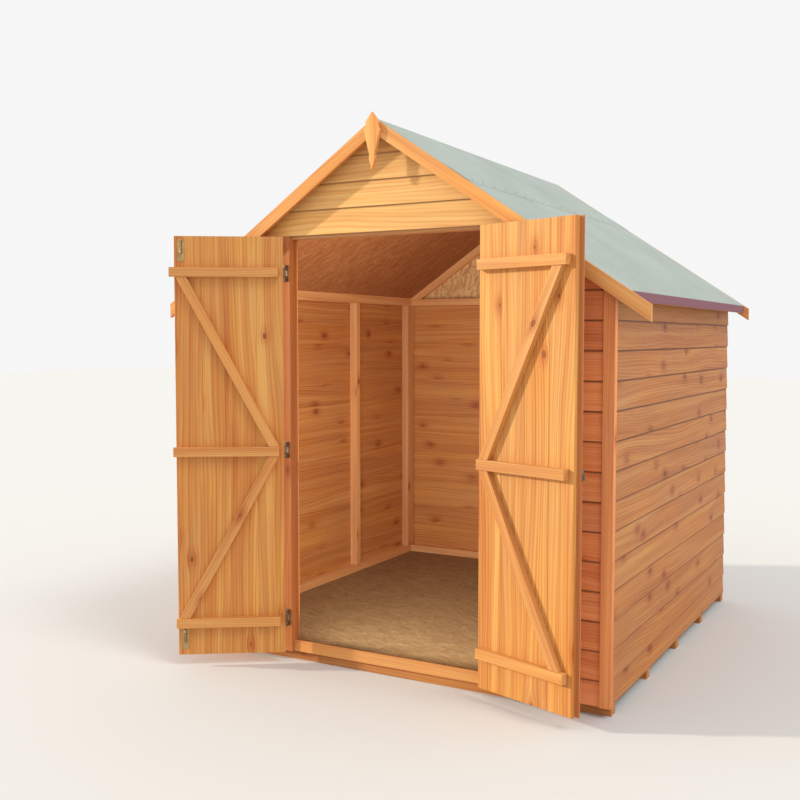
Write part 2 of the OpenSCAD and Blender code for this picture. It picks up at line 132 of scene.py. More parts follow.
def noiseOf(tree, vector, scale=1.0, detail=2.0, rough=0.5, dims="3D"):
    made = addNode(tree, "ShaderNodeTexNoise", noise_dimensions=dims)
    plug(tree, vector, made.inputs["Vector"])
    made.inputs["Scale"].default_value = scale
    made.inputs["Detail"].default_value = detail
    made.inputs["Roughness"].default_value = rough
    return made.outputs["Fac"]


def rampOf(tree, factor, stops):
    made = addNode(tree, "ShaderNodeValToRGB")
    ramp = made.color_ramp
    while len(ramp.elements) < len(stops):
        ramp.elements.new(0.5)
    for element, (place, colour) in zip(ramp.elements, stops):
        element.position = place
        element.color = (*colour, 1)
    plug(tree, factor, made.inputs[0])
    return made.outputs[0]


def blendColour(tree, factor, first, second, mode="MIX"):
    made = addNode(tree, "ShaderNodeMix", data_type="RGBA", blend_type=mode)
    plug(tree, factor, made.inputs[0])
    for value, socket in ((first, made.inputs[6]), (second, made.inputs[7])):
        plug(tree, (*value, 1) if isinstance(value, tuple) else value, socket)
    return made.outputs[2]


def newFinish(name):
    material = bpy.data.materials.new(name)
    material.use_nodes = True
    tree = material.node_tree
    return material, tree, tree.nodes["Principled BSDF"]


def sanded(tree, height, shader, distance, strength):
    bump = addNode(tree, "ShaderNodeBump")
    bump.inputs["Distance"].default_value = distance
    bump.inputs["Strength"].default_value = strength
    plug(tree, height, bump.inputs["Height"])
    tree.links.new(bump.outputs[0], shader.inputs["Normal"])


# Finishes
# Pale, middle and deep tones of each timber; knotShare is how many cells keep their knot, and the colour after vary
# is painted shade under the laps. Some entries are copies of one timber whose tones carry painted light and shade
timberLooks = {
    # side and back wall cladding and the bearers: as painted shade, darker than the front and gable copies of the
    # same cladding
    "claddingPine": dict(pale=(0.575, 0.268, 0.078), middle=(0.475, 0.174, 0.045), deep=(0.30, 0.074, 0.018),
                         ring=0.0120, knotShare=0.62, vary=0.07, lapShadow=(0.16, 0.05, 0.018), figure=0.21, streak=0.72),
    # front wall cladding, the same boards: redder as painted shade from the open leaves, and lifted as painted light
    # against their cast shadow
    "frontPine": dict(pale=(0.93, 0.37, 0.145), middle=(0.84, 0.275, 0.095), deep=(0.56, 0.135, 0.042),
                      ring=0.0100, knotShare=0.35, vary=0.09, lapShadow=(0.16, 0.05, 0.018), figure=0.20, streak=0.85),
    # gable cladding, the same boards again: paler and yellower as painted sunlight
    "gablePine": dict(pale=(0.86, 0.51, 0.185), middle=(0.78, 0.41, 0.128), deep=(0.57, 0.21, 0.052),
                      ring=0.0150, knotShare=0.0, vary=0.04, lapShadow=(0.33, 0.14, 0.05), figure=0.26, streak=0.95),
    "doorPine": dict(pale=(0.70, 0.360, 0.100), middle=(0.600, 0.252, 0.060), deep=(0.47, 0.13, 0.026),
                     ring=0.0125, knotShare=0.30, vary=0.045, lapShadow=(0.16, 0.05, 0.018), figure=0.31, streak=1.25),
    "battenPine": dict(pale=(0.70, 0.36, 0.118), middle=(0.62, 0.27, 0.076), deep=(0.46, 0.135, 0.03),
                       ring=0.0085, knotShare=0.15, vary=0.05, lapShadow=(0.16, 0.05, 0.018), figure=0.28, streak=1.0),
    "trimPine": dict(pale=(0.79, 0.405, 0.13), middle=(0.70, 0.295, 0.082), deep=(0.51, 0.145, 0.032),
                     ring=0.0090, knotShare=0.12, vary=0.05, lapShadow=(0.16, 0.05, 0.018), figure=0.26, streak=1.0),
    # corner trims, the same planed timber as trimPine: redder as painted shade from the open leaves
    "cornerPine": dict(pale=(0.86, 0.355, 0.125), middle=(0.77, 0.268, 0.088), deep=(0.54, 0.14, 0.04),
                       ring=0.0090, knotShare=0.20, vary=0.06, lapShadow=(0.16, 0.05, 0.018), figure=0.28, streak=1.0),
    # door posts and cover strip, the same framing timber as framePine: darker as painted shade
    "postPine": dict(pale=(0.56, 0.22, 0.075), middle=(0.49, 0.165, 0.05), deep=(0.34, 0.088, 0.024),
                     ring=0.0090, knotShare=0.20, vary=0.06, lapShadow=(0.16, 0.05, 0.018), figure=0.28, streak=0.9),
    "framePine": dict(pale=(0.70, 0.37, 0.15), middle=(0.62, 0.275, 0.10), deep=(0.44, 0.15, 0.045),
                      ring=0.0080, knotShare=0.25, vary=0.08, lapShadow=(0.16, 0.05, 0.018), figure=0.22, streak=0.8),
}

# How the grain runs in every timber: knot cells, the push and halo round a knot, the bend of the rings, and how
# strongly the painted shade under the laps shows
grainShape = dict(cellAlong=2.6, cellAcross=9.0, knotLong=2.1, knotPush=0.8, haloFall=24, halo=0.30,
                  knotLeast=0.018, knotSpread=0.075, bend=0.115, flutter=0.0045, ringEdge=2.4,
                  fibre=0.22, blotch=0.20, lapShadowShare=0.78, knotShare=0.85, depth=mm(0.35))
knotTones = [(0.0, (0.20, 0.052, 0.015)), (0.6, (0.28, 0.074, 0.02)), (1.0, (0.075, 0.018, 0.007))]


def timberFinish(name, look):
    shape = grainShape
    material, tree, shader = newFinish(name)
    uv = addNode(tree, "ShaderNodeUVMap", uv_map="grain").outputs[0]
    split = addNode(tree, "ShaderNodeSeparateXYZ")
    plug(tree, uv, split.inputs[0])
    plank = addNode(tree, "ShaderNodeAttribute", attribute_name="plank").outputs["Fac"]
    along = calc(tree, "MULTIPLY_ADD", plank, 23.7, split.outputs[0])
    across = calc(tree, "MULTIPLY_ADD", plank, 5.1, split.outputs[1])

    # knots: one to a cell, with the grain pushed aside round them
    cell = vectorOf(tree, calc(tree, "MULTIPLY", along, shape["cellAlong"]),
                    calc(tree, "MULTIPLY", across, shape["cellAcross"]), 0)
    knots = addNode(tree, "ShaderNodeTexVoronoi", voronoi_dimensions="2D")
    plug(tree, cell, knots.inputs["Vector"])
    knots.inputs["Scale"].default_value = 1
    gap = addNode(tree, "ShaderNodeVectorMath", operation="SUBTRACT")
    plug(tree, cell, gap.inputs[0])
    plug(tree, knots.outputs["Position"], gap.inputs[1])
    gapSplit = addNode(tree, "ShaderNodeSeparateXYZ")
    plug(tree, gap.outputs[0], gapSplit.inputs[0])
    shade = addNode(tree, "ShaderNodeSeparateColor")
    plug(tree, knots.outputs["Color"], shade.inputs[0])
    kept = calc(tree, "LESS_THAN", shade.outputs[0], look["knotShare"])
    size = calc(tree, "MULTIPLY_ADD", calc(tree, "POWER", shade.outputs[1], 2),
                shape["knotSpread"], shape["knotLeast"])
    reach = calc(tree, "SQRT", calc(tree, "ADD",
        calc(tree, "POWER", calc(tree, "MULTIPLY", calc(tree, "ABSOLUTE", gapSplit.outputs[0]),
                                  shape["knotLong"]), 2),
        calc(tree, "POWER", calc(tree, "ABSOLUTE", gapSplit.outputs[1]), 2)))
    near = calc(tree, "EXPONENT", calc(tree, "MULTIPLY", calc(tree, "POWER", reach, 2), -shape["haloFall"]))
    near = calc(tree, "MULTIPLY", near, kept)
    aside = calc(tree, "MULTIPLY", calc(tree, "MULTIPLY", gapSplit.outputs[1], near),
                 shape["knotPush"] / shape["cellAcross"])

    # growth rings cut by the saw, bent by slow noise along the board
    slow = noiseOf(tree, vectorOf(tree, calc(tree, "MULTIPLY", along, 0.75),
        calc(tree, "MULTIPLY", across, 5.5), calc(tree, "MULTIPLY", plank, 31)), detail=1.5)
    quick = noiseOf(tree, vectorOf(tree, calc(tree, "MULTIPLY", along, 6),
        calc(tree, "MULTIPLY", across, 34), plank), detail=2)
    bent = calc(tree, "SUBTRACT", across, aside)
    bent = calc(tree, "MULTIPLY_ADD", calc(tree, "SUBTRACT", slow, 0.5), shape["bend"], bent)
    bent = calc(tree, "MULTIPLY_ADD", calc(tree, "SUBTRACT", quick, 0.5), shape["flutter"], bent)
    rings = calc(tree, "SINE", calc(tree, "MULTIPLY", bent, 2 * math.pi / look["ring"]))
    rings = calc(tree, "POWER", calc(tree, "MULTIPLY_ADD", rings, 0.5, 0.5), shape["ringEdge"])
    share = noiseOf(tree, vectorOf(tree, calc(tree, "MULTIPLY", along, 0.8),
        calc(tree, "MULTIPLY", across, 16), calc(tree, "MULTIPLY", plank, 11)), detail=1)
    rings = calc(tree, "MULTIPLY", rings, calc(tree, "MULTIPLY_ADD", share, 1.7, -0.28, clamp=True))
    fibre = noiseOf(tree, vectorOf(tree, calc(tree, "MULTIPLY", along, 7),
        calc(tree, "MULTIPLY", across, 420), plank), detail=3, rough=0.6)
    streak = noiseOf(tree, vectorOf(tree, calc(tree, "MULTIPLY", along, 0.9),
        calc(tree, "MULTIPLY", bent, 34), calc(tree, "MULTIPLY", plank, 7)), detail=2.5, rough=0.6)
    tone = calc(tree, "MULTIPLY", rings, look["figure"])
    tone = calc(tree, "MULTIPLY_ADD", fibre, shape["fibre"], tone)
    # streaks swing about a fixed middle, so their strength leaves the mean tone alone
    tone = calc(tree, "ADD", calc(tree, "MULTIPLY_ADD", streak, look["streak"], 0.33 - look["streak"] / 2), tone)
    tone = calc(tree, "MULTIPLY_ADD", near, shape["halo"], tone)
    colour = rampOf(tree, tone, [(0.26, look["pale"]), (0.50, look["middle"]), (0.86, look["deep"])])

    # the knot itself, darker at its rim
    inKnot = addNode(tree, "ShaderNodeMapRange", interpolation_type="SMOOTHSTEP")
    plug(tree, calc(tree, "SUBTRACT", reach, size), inKnot.inputs[0])
    for i, value in ((1, -0.012), (2, 0.014), (3, 1.0), (4, 0.0)):
        inKnot.inputs[i].default_value = value
    knotMask = calc(tree, "MULTIPLY", inKnot.outputs[0], kept)
    knotTone = rampOf(tree, calc(tree, "DIVIDE", reach, size), knotTones)
    colour = blendColour(tree, calc(tree, "MULTIPLY", knotMask, shape["knotShare"]), colour, knotTone)

    # every board its own shade, and a slow blotch from the dip treatment
    dye = addNode(tree, "ShaderNodeTexWhiteNoise", noise_dimensions="1D")
    plug(tree, calc(tree, "MULTIPLY", plank, 91.7), dye.inputs["W"])
    blotch = noiseOf(tree, vectorOf(tree, calc(tree, "MULTIPLY", along, 2.2),
        calc(tree, "MULTIPLY", across, 5), 3.3), detail=2)
    hsv = addNode(tree, "ShaderNodeHueSaturation")
    plug(tree, colour, hsv.inputs["Color"])
    lift = calc(tree, "MULTIPLY_ADD", calc(tree, "SUBTRACT", dye.outputs["Value"], 0.5), look["vary"] * 2, 1)
    lift = calc(tree, "MULTIPLY_ADD", calc(tree, "SUBTRACT", blotch, 0.5), shape["blotch"], lift)
    plug(tree, lift, hsv.inputs["Value"])
    plug(tree, calc(tree, "MULTIPLY_ADD", blotch, 0.10, 0.95), hsv.inputs["Saturation"])
    plug(tree, calc(tree, "MULTIPLY_ADD", dye.outputs["Value"], 0.004, 0.498), hsv.inputs["Hue"])
    # painted shade: each board darkens where it tucks under the next, where the lap's shadow falls
    lapShadow = addNode(tree, "ShaderNodeAttribute", attribute_name="lapShadow").outputs["Fac"]
    lapShaded = blendColour(tree, calc(tree, "MULTIPLY", lapShadow, shape["lapShadowShare"]), hsv.outputs[0], look["lapShadow"])
    plug(tree, lapShaded, shader.inputs["Base Color"])
    plug(tree, calc(tree, "MULTIPLY_ADD", fibre, 0.22, 0.50), shader.inputs["Roughness"])
    shader.inputs["Specular IOR Level"].default_value = 0.35
    height = calc(tree, "MULTIPLY_ADD", rings, 0.5, fibre)
    height = calc(tree, "MULTIPLY_ADD", knotMask, -0.6, height)
    sanded(tree, height, shader, shape["depth"], 0.4)
    return material


# Tones of the strands from low to high, and how the layers of strands lie
strandLooks = {
    "strandBoard": [(0.0, (0.42, 0.20, 0.07)), (0.35, (0.53, 0.28, 0.105)),
                    (0.65, (0.61, 0.35, 0.14)), (1.0, (0.70, 0.45, 0.20))],
    "roofStrand": [(0.0, (0.285, 0.086, 0.024)), (0.4, (0.325, 0.108, 0.031)),
                   (0.7, (0.355, 0.128, 0.038)), (1.0, (0.40, 0.16, 0.052))],
    "floorStrand": [(0.0, (0.185, 0.096, 0.037)), (0.35, (0.212, 0.117, 0.046)),
                    (0.65, (0.232, 0.132, 0.053)), (1.0, (0.262, 0.156, 0.066))],
}
strandShape = dict(layers=((12, 0.0), (-38, 1.7), (74, 4.1), (-71, 7.9)), perMetre=(19, 95, 1),
                   fibres=(0.8, 9, 1), fibreShare=0.40, bare=0.56, rough=0.72, depth=mm(0.35))


def strandFinish(name, look):
    material, tree, shader = newFinish(name)
    uv = addNode(tree, "ShaderNodeUVMap", uv_map="grain").outputs[0]
    value, height = None, None
    for turn, offset in strandShape["layers"]:
        turned = addNode(tree, "ShaderNodeMapping")
        turned.inputs["Rotation"].default_value = (0, 0, math.radians(turn))
        turned.inputs["Location"].default_value = (offset, offset * 0.7, 0)
        plug(tree, uv, turned.inputs[0])
        stretched = addNode(tree, "ShaderNodeVectorMath", operation="MULTIPLY")
        plug(tree, turned.outputs[0], stretched.inputs[0])
        stretched.inputs[1].default_value = strandShape["perMetre"]
        strands = addNode(tree, "ShaderNodeTexVoronoi", voronoi_dimensions="2D")
        strands.inputs["Scale"].default_value = 1
        plug(tree, stretched.outputs[0], strands.inputs["Vector"])
        split = addNode(tree, "ShaderNodeSeparateColor")
        plug(tree, strands.outputs["Color"], split.inputs[0])
        fibre = addNode(tree, "ShaderNodeVectorMath", operation="MULTIPLY")
        plug(tree, stretched.outputs[0], fibre.inputs[0])
        fibre.inputs[1].default_value = strandShape["fibres"]
        grain = noiseOf(tree, fibre.outputs[0], detail=2, dims="2D")
        shadeHere = calc(tree, "MULTIPLY_ADD", calc(tree, "SUBTRACT", grain, 0.5),
                         strandShape["fibreShare"], split.outputs[0])
        # a strand's rim sits a little lower than its middle
        rim = calc(tree, "SUBTRACT", 1, calc(tree, "POWER", strands.outputs["Distance"], 2))
        topHere = calc(tree, "ADD", split.outputs[1], calc(tree, "MULTIPLY", rim, 0.3))
        if value is None:
            value, height = shadeHere, topHere
        else:
            over = calc(tree, "GREATER_THAN", split.outputs[2], strandShape["bare"])
            value = calc(tree, "ADD", calc(tree, "MULTIPLY", shadeHere, over),
                         calc(tree, "MULTIPLY", value, calc(tree, "SUBTRACT", 1, over)))
            height = calc(tree, "ADD", calc(tree, "MULTIPLY", topHere, over),
                          calc(tree, "MULTIPLY", height, calc(tree, "SUBTRACT", 1, over)))
    colour = rampOf(tree, value, look)
    plug(tree, colour, shader.inputs["Base Color"])
    shader.inputs["Roughness"].default_value = strandShape["rough"]
    shader.inputs["Specular IOR Level"].default_value = 0.3
    sanded(tree, height, shader, strandShape["depth"], 0.5)
    return material


# Felt: tones, and how many grains, clumps, washes and chips there are to a metre
feltLook = dict(pale=(0.445, 0.50, 0.462), dark=(0.33, 0.385, 0.355), chip=(0.55, 0.60, 0.56),
                fleck=(0.22, 0.26, 0.26), fold=(0.25, 0.115, 0.14), grit=1100, clump=190, wash=3.2,
                chips=520, rough=0.92, depth=mm(0.7))


def feltFinish(name):
    material, tree, shader = newFinish(name)
    place = addNode(tree, "ShaderNodeTexCoord").outputs["Object"]
    grit = noiseOf(tree, place, scale=feltLook["grit"], detail=2, rough=0.7)
    clump = noiseOf(tree, place, scale=feltLook["clump"], detail=3)
    wash = noiseOf(tree, place, scale=feltLook["wash"], detail=3)
    chips = addNode(tree, "ShaderNodeTexVoronoi", voronoi_dimensions="3D")
    chips.inputs["Scale"].default_value = feltLook["chips"]
    plug(tree, place, chips.inputs["Vector"])
    tone = calc(tree, "MULTIPLY_ADD", grit, 0.5, calc(tree, "MULTIPLY", clump, 0.3))
    tone = calc(tree, "MULTIPLY_ADD", wash, 0.35, tone)
    colour = rampOf(tree, tone, [(0.40, feltLook["dark"]), (0.66, feltLook["pale"]), (0.80, feltLook["chip"])])
    split = addNode(tree, "ShaderNodeSeparateColor")
    plug(tree, chips.outputs["Color"], split.inputs[0])
    fleck = calc(tree, "GREATER_THAN", split.outputs[0], 0.93)
    colour = blendColour(tree, calc(tree, "MULTIPLY", fleck, 0.35), colour, feltLook["fleck"])
    # where the felt turns down over the eaves it is coloured dark mauve
    fold = addNode(tree, "ShaderNodeAttribute", attribute_name="fold").outputs["Fac"]
    colour = blendColour(tree, fold, colour, feltLook["fold"])
    plug(tree, colour, shader.inputs["Base Color"])
    shader.inputs["Roughness"].default_value = feltLook["rough"]
    shader.inputs["Specular IOR Level"].default_value = 0.2
    sanded(tree, calc(tree, "ADD", grit, calc(tree, "MULTIPLY", clump, 0.8)), shader,
           feltLook["depth"], 0.7)
    return material


metalLooks = {
    "zincPlate": dict(bright=(0.36, 0.265, 0.19), dull=(0.22, 0.15, 0.10), rough=0.48, tarnish=0.5),
    "dullBrass": dict(bright=(0.62, 0.42, 0.18), dull=(0.33, 0.22, 0.11), rough=0.32, tarnish=0.45),
    "cloutGrey": dict(bright=(0.36, 0.39, 0.37), dull=(0.26, 0.28, 0.27), rough=0.55, tarnish=0.5),
    "nailSteel": dict(bright=(0.36, 0.33, 0.30), dull=(0.20, 0.16, 0.13), rough=0.45, tarnish=0.5),
}


def metalFinish(name, look):
    material, tree, shader = newFinish(name)
    place = addNode(tree, "ShaderNodeTexCoord").outputs["Object"]
    bloom = noiseOf(tree, place, scale=38, detail=3, rough=0.6)
    brushed = addNode(tree, "ShaderNodeVectorMath", operation="MULTIPLY")
    plug(tree, place, brushed.inputs[0])
    brushed.inputs[1].default_value = (900, 900, 60)
    lines = noiseOf(tree, brushed.outputs[0], detail=1)
    spread = calc(tree, "MULTIPLY_ADD", calc(tree, "SUBTRACT", bloom, 0.5), 2.2, look["tarnish"], clamp=True)
    plug(tree, blendColour(tree, spread, look["bright"], look["dull"]), shader.inputs["Base Color"])
    plug(tree, calc(tree, "MULTIPLY_ADD", bloom, 0.3, look["rough"]), shader.inputs["Roughness"])
    shader.inputs["Metallic"].default_value = 1.0
    sanded(tree, lines, shader, mm(0.15), 0.4)
    return material


finishes = {name: timberFinish(name, look) for name, look in timberLooks.items()}
finishes.update({name: strandFinish(name, look) for name, look in strandLooks.items()})
finishes["mineralFelt"] = feltFinish("mineralFelt")
finishes.update({name: metalFinish(name, look) for name, look in metalLooks.items()})
print("finishes made", len(finishes))


# Framing, trims and sheets: each solid of a node gets its own grain and eased edges
def looseParts(work):
    # faces are taken in their own order, so every run gives the same groups
    left, groups = set(work.faces), []
    for start in work.faces:
        if start not in left:
            continue
        left.remove(start)
        group, queue = [start], [start]
        while queue:
            face = queue.pop()
            for edge in face.edges:
                for other in edge.link_faces:
                    if other in left:
                        left.remove(other)
                        group.append(other)
                        queue.append(other)
        groups.append(group)
    return groups


def middleOf(group):
    return sum((face.calc_center_median() for face in group), Vector()) / len(group)


def grainMap(work, groups, grains, seed):
    layer = work.loops.layers.uv.new("grain")
    plank = work.verts.layers.float.new("plank")
    draw = random.Random(seed)
    for group, grain in zip(groups, grains):
        value, offU, offV = draw.random(), draw.random() * 3, draw.random() * 0.4
        for face in group:
            normal = face.normal
            if abs(normal.dot(grain)) > 0.8:      # end grain
                side = normal.orthogonal().normalized()
                other = normal.cross(side)
                for loop in face.loops:
                    loop[layer].uv = (loop.vert.co.dot(side) * 0.2 + offU, loop.vert.co.dot(other) + offV)
            else:
                other = normal.cross(grain).normalized()
                turn = offV + 0.07 * round(2 * (normal.x + 2 * normal.y + 3 * normal.z))
                for loop in face.loops:
                    loop[layer].uv = (loop.vert.co.dot(grain) + offU, loop.vert.co.dot(other) + turn)
        for face in group:
            for vert in face.verts:
                vert[plank] = value


def dressed(node, body, slotName, finish, ease=1.0, grain=None, seed=1):
    work = nodeCopy(node)
    grains = []
    for group in looseParts(work):
        way = grain
        if way is None:
            longest = max((edge for face in group for edge in face.edges), key=lambda e: e.calc_length())
            way = (longest.verts[1].co - longest.verts[0].co).normalized()
        grains.append((middleOf(group), Vector(way)))
    easedEdges(work, ease, 25)
    groups = looseParts(work)
    ways = [min(grains, key=lambda g: (g[0] - middleOf(group)).length)[1] for group in groups]
    work.normal_update()
    grainMap(work, groups, ways, seed)
    return newPiece(node + "Dressed", meshFrom(work, node), body, slotName, finishes[finish], node)


# Timber, finish and how far its edges are eased, in millimetres
framingNodes = [
    ("floor_bearers", "claddingPine", 1.5), ("door_sill", "trimPine", 1.0),
    ("front_wall_posts", "postPine", 1.2), ("front_wall_bottom_rails", "framePine", 1.2),
    ("door_head_rail", "framePine", 1.2), ("side_wall_studs", "framePine", 1.2),
    ("side_wall_rails", "framePine", 1.2), ("back_wall_studs", "framePine", 1.2),
    ("back_wall_rails", "framePine", 1.2), ("front_gable_rafters", "framePine", 1.2),
    ("back_gable_rafters", "framePine", 1.2), ("eave_battens", "framePine", 1.2),
]
trimNodes = ["left_corner_trim", "right_corner_trim", "front_left_barge", "front_right_barge",
             "back_left_barge", "back_right_barge", "finial"]
for count, (node, finish, ease) in enumerate(framingNodes):
    dressed(node, "shed", "framing_timber", finish, ease, seed=10 + count)
for count, node in enumerate(trimNodes):
    dressed(node, "shed", "planed_trim", "cornerPine" if "corner" in node else "trimPine", 1.4,
            grain=(0, 0, 1) if node == "finial" else None, seed=30 + count)
dressed("floor_panel", "shed", "strand_board", "floorStrand", 0.4, seed=50)
for count, (node, finish) in enumerate([("back_gable_lining", "strandBoard"), ("left_roof_board", "roofStrand"),
                                        ("right_roof_board", "roofStrand")]):
    dressed(node, "shed", "strand_board", finish, 0.4, seed=51 + count)
for side in ("left", "right"):
    for part in ("ledges", "braces"):
        dressed(f"{side}_door_{part}", f"{side}_door", "framing_timber", "battenPine", 1.5,
                seed=60 + len(side) + len(part))
dressed("right_door_cover_strip", "right_door", "planed_trim", "postPine", 1.4, seed=71)
print("timber dressed")


# Boards grown by Geometry Nodes
def newTree(name, inputs):
    tree = bpy.data.node_groups.new(name, "GeometryNodeTree")
    for label, kind, value in inputs:
        socket = tree.interface.new_socket(label, in_out="INPUT", socket_type="NodeSocket" + kind)
        if value is not None:
            socket.default_value = value
    tree.interface.new_socket("Geometry", in_out="OUTPUT", socket_type="NodeSocketGeometry")
    entry = addNode(tree, "NodeGroupInput")
    leave = addNode(tree, "NodeGroupOutput")
    return tree, entry.outputs, leave.inputs[0]


def grown(name, tree, values):
    host = bpy.data.objects.new(name + "Host", bpy.data.meshes.new(name + "Host"))
    scene.collection.objects.link(host)
    grower = host.modifiers.new("grower", "NODES")
    grower.node_group = tree
    for item in tree.interface.items_tree:
        if item.item_type == "SOCKET" and item.in_out == "INPUT" and item.name in values:
            grower[item.identifier] = values[item.name]
    graph = bpy.context.evaluated_depsgraph_get()
    mesh = bpy.data.meshes.new_from_object(host.evaluated_get(graph), preserve_all_data_layers=True,
                                           depsgraph=graph)
    host.modifiers.clear()
    bpy.data.objects.remove(host)
    mesh.name = name
    return mesh


# Rows of boards: copies of a blank, set out by a pitch
def boardRowTree():
    tree, given, leave = newTree("boardRow", [
        ("Blank", "Object", None), ("Count", "Int", 4), ("Start", "Vector", (0, 0, 0)),
        ("Pitch", "Vector", (0, 0, 0.1)), ("Wander", "Float", 0.0006), ("Seed", "Int", 1),
        ("Finish", "Material", None)])
    line = addNode(tree, "GeometryNodeMeshLine", mode="OFFSET")
    plug(tree, given["Count"], line.inputs["Count"])
    plug(tree, given["Start"], line.inputs["Start Location"])
    plug(tree, given["Pitch"], line.inputs["Offset"])
    blank = addNode(tree, "GeometryNodeObjectInfo")
    plug(tree, given["Blank"], blank.inputs[0])
    rows = addNode(tree, "GeometryNodeInstanceOnPoints")
    plug(tree, line.outputs[0], rows.inputs["Points"])
    plug(tree, blank.outputs["Geometry"], rows.inputs["Instance"])
    draw = addNode(tree, "FunctionNodeRandomValue", data_type="FLOAT")
    plug(tree, given["Seed"], draw.inputs["Seed"])
    tag = addNode(tree, "GeometryNodeStoreNamedAttribute", data_type="FLOAT", domain="INSTANCE")
    tag.inputs["Name"].default_value = "plank"
    plug(tree, rows.outputs[0], tag.inputs[0])
    plug(tree, draw.outputs[1], tag.inputs["Value"])
    real = addNode(tree, "GeometryNodeRealizeInstances")
    plug(tree, tag.outputs[0], real.inputs[0])

    # slow wander of the edges
    place = addNode(tree, "GeometryNodeInputPosition").outputs[0]
    split = addNode(tree, "ShaderNodeSeparateXYZ")
    plug(tree, place, split.inputs[0])
    tagged = addNode(tree, "GeometryNodeInputNamedAttribute", data_type="FLOAT")
    tagged.inputs["Name"].default_value = "plank"
    drift = noiseOf(tree, vectorOf(tree, calc(tree, "MULTIPLY", split.outputs[0], 3),
        calc(tree, "MULTIPLY", tagged.outputs[0], 40), calc(tree, "MULTIPLY", split.outputs[2], 1.5)), detail=1)
    drift = calc(tree, "MULTIPLY", calc(tree, "SUBTRACT", drift, 0.5), given["Wander"])
    moved = addNode(tree, "GeometryNodeSetPosition")
    plug(tree, real.outputs[0], moved.inputs[0])
    plug(tree, vectorOf(tree, 0, calc(tree, "MULTIPLY", drift, 0.5), drift), moved.inputs["Offset"])
    painted = addNode(tree, "GeometryNodeSetMaterial")
    plug(tree, moved.outputs[0], painted.inputs[0])
    plug(tree, given["Finish"], painted.inputs["Material"])
    plug(tree, painted.outputs[0], leave)
    return tree


# Heads of nails or screws on a grid, facing up
def headGridTree():
    tree, given, leave = newTree("headGrid", [
        ("Head", "Object", None), ("Columns", "Int", 2), ("Rows", "Int", 2), ("Column Pitch", "Float", 0.1),
        ("Row Pitch", "Float", 0.1), ("Jitter", "Float", 0.002), ("Seed", "Int", 1),
        ("Finish", "Material", None)])
    grid = addNode(tree, "GeometryNodeMeshGrid")
    plug(tree, calc(tree, "MULTIPLY", given["Column Pitch"], calc(tree, "SUBTRACT", given["Columns"], 1)),
         grid.inputs["Size X"])
    plug(tree, calc(tree, "MULTIPLY", given["Row Pitch"], calc(tree, "SUBTRACT", given["Rows"], 1)),
         grid.inputs["Size Y"])
    plug(tree, given["Columns"], grid.inputs["Vertices X"])
    plug(tree, given["Rows"], grid.inputs["Vertices Y"])
    draw = addNode(tree, "FunctionNodeRandomValue", data_type="FLOAT_VECTOR")
    draw.inputs["Min"].default_value = (-1, -1, 0)
    draw.inputs["Max"].default_value = (1, 1, 0)
    plug(tree, given["Seed"], draw.inputs["Seed"])
    shaken = addNode(tree, "ShaderNodeVectorMath", operation="SCALE")
    plug(tree, draw.outputs[0], shaken.inputs[0])
    plug(tree, given["Jitter"], shaken.inputs["Scale"])
    moved = addNode(tree, "GeometryNodeSetPosition")
    plug(tree, grid.outputs[0], moved.inputs[0])
    plug(tree, shaken.outputs[0], moved.inputs["Offset"])
    head = addNode(tree, "GeometryNodeObjectInfo")
    plug(tree, given["Head"], head.inputs[0])
    turn = addNode(tree, "FunctionNodeRandomValue", data_type="FLOAT_VECTOR")
    turn.inputs["Max"].default_value = (0, 0, 2 * math.pi)
    plug(tree, given["Seed"], turn.inputs["Seed"])
    heads = addNode(tree, "GeometryNodeInstanceOnPoints")
    plug(tree, moved.outputs[0], heads.inputs["Points"])
    plug(tree, head.outputs["Geometry"], heads.inputs["Instance"])
    plug(tree, turn.outputs[0], heads.inputs["Rotation"])
    real = addNode(tree, "GeometryNodeRealizeInstances")
    plug(tree, heads.outputs[0], real.inputs[0])
    painted = addNode(tree, "GeometryNodeSetMaterial")
    plug(tree, real.outputs[0], painted.inputs[0])
    plug(tree, given["Finish"], painted.inputs["Material"])
    plug(tree, painted.outputs[0], leave)
    return tree


boardRow = boardRowTree()
headGrid = headGridTree()


# A board: its section in depth and height, run along x in short lengths so that it can wander
def boardBlank(name, x0, x1, section, ease=1.0, step=0.16):
    # a corner of the section may carry its share of painted lap shade as a third number
    eased, lapShades = [], []
    for i, point in enumerate(section):
        here = Vector(point[:2])
        for other in (section[i - 1], section[(i + 1) % len(section)]):
            gap = Vector(other[:2]) - here
            eased.append(here + gap.normalized() * min(mm(ease), gap.length * 0.3))
            lapShades.append(point[2] if len(point) > 2 else 0.0)
    bays = max(1, round((x1 - x0) / step))
    work = bmesh.new()
    layer = work.loops.layers.uv.new("grain")
    lapShadowMark = work.verts.layers.float.new("lapShadow")
    rings = [[work.verts.new((x0 + (x1 - x0) * k / bays, -p.x, p.y)) for p in eased] for k in range(bays + 1)]
    for ring in rings:
        for vert, share in zip(ring, lapShades):
            vert[lapShadowMark] = share
    run = [0]
    for i in range(len(eased)):
        run.append(run[-1] + (eased[(i + 1) % len(eased)] - eased[i]).length)
    for k in range(bays):
        for i in range(len(eased)):
            j = (i + 1) % len(eased)
            corners = [rings[k][i], rings[k][j], rings[k + 1][j], rings[k + 1][i]]
            face = work.faces.new(corners)
            for loop, mark in zip(face.loops, ((k, i), (k, i + 1), (k + 1, i + 1), (k + 1, i))):
                loop[layer].uv = (rings[mark[0]][0].co.x, run[mark[1]])
    for ring in (rings[0], rings[-1]):
        face = work.faces.new(ring)
        for loop in face.loops:
            loop[layer].uv = (loop.vert.co.y * 0.2, loop.vert.co.z)
    bmesh.ops.recalc_face_normals(work, faces=work.faces)
    return blankFrom(work, name)


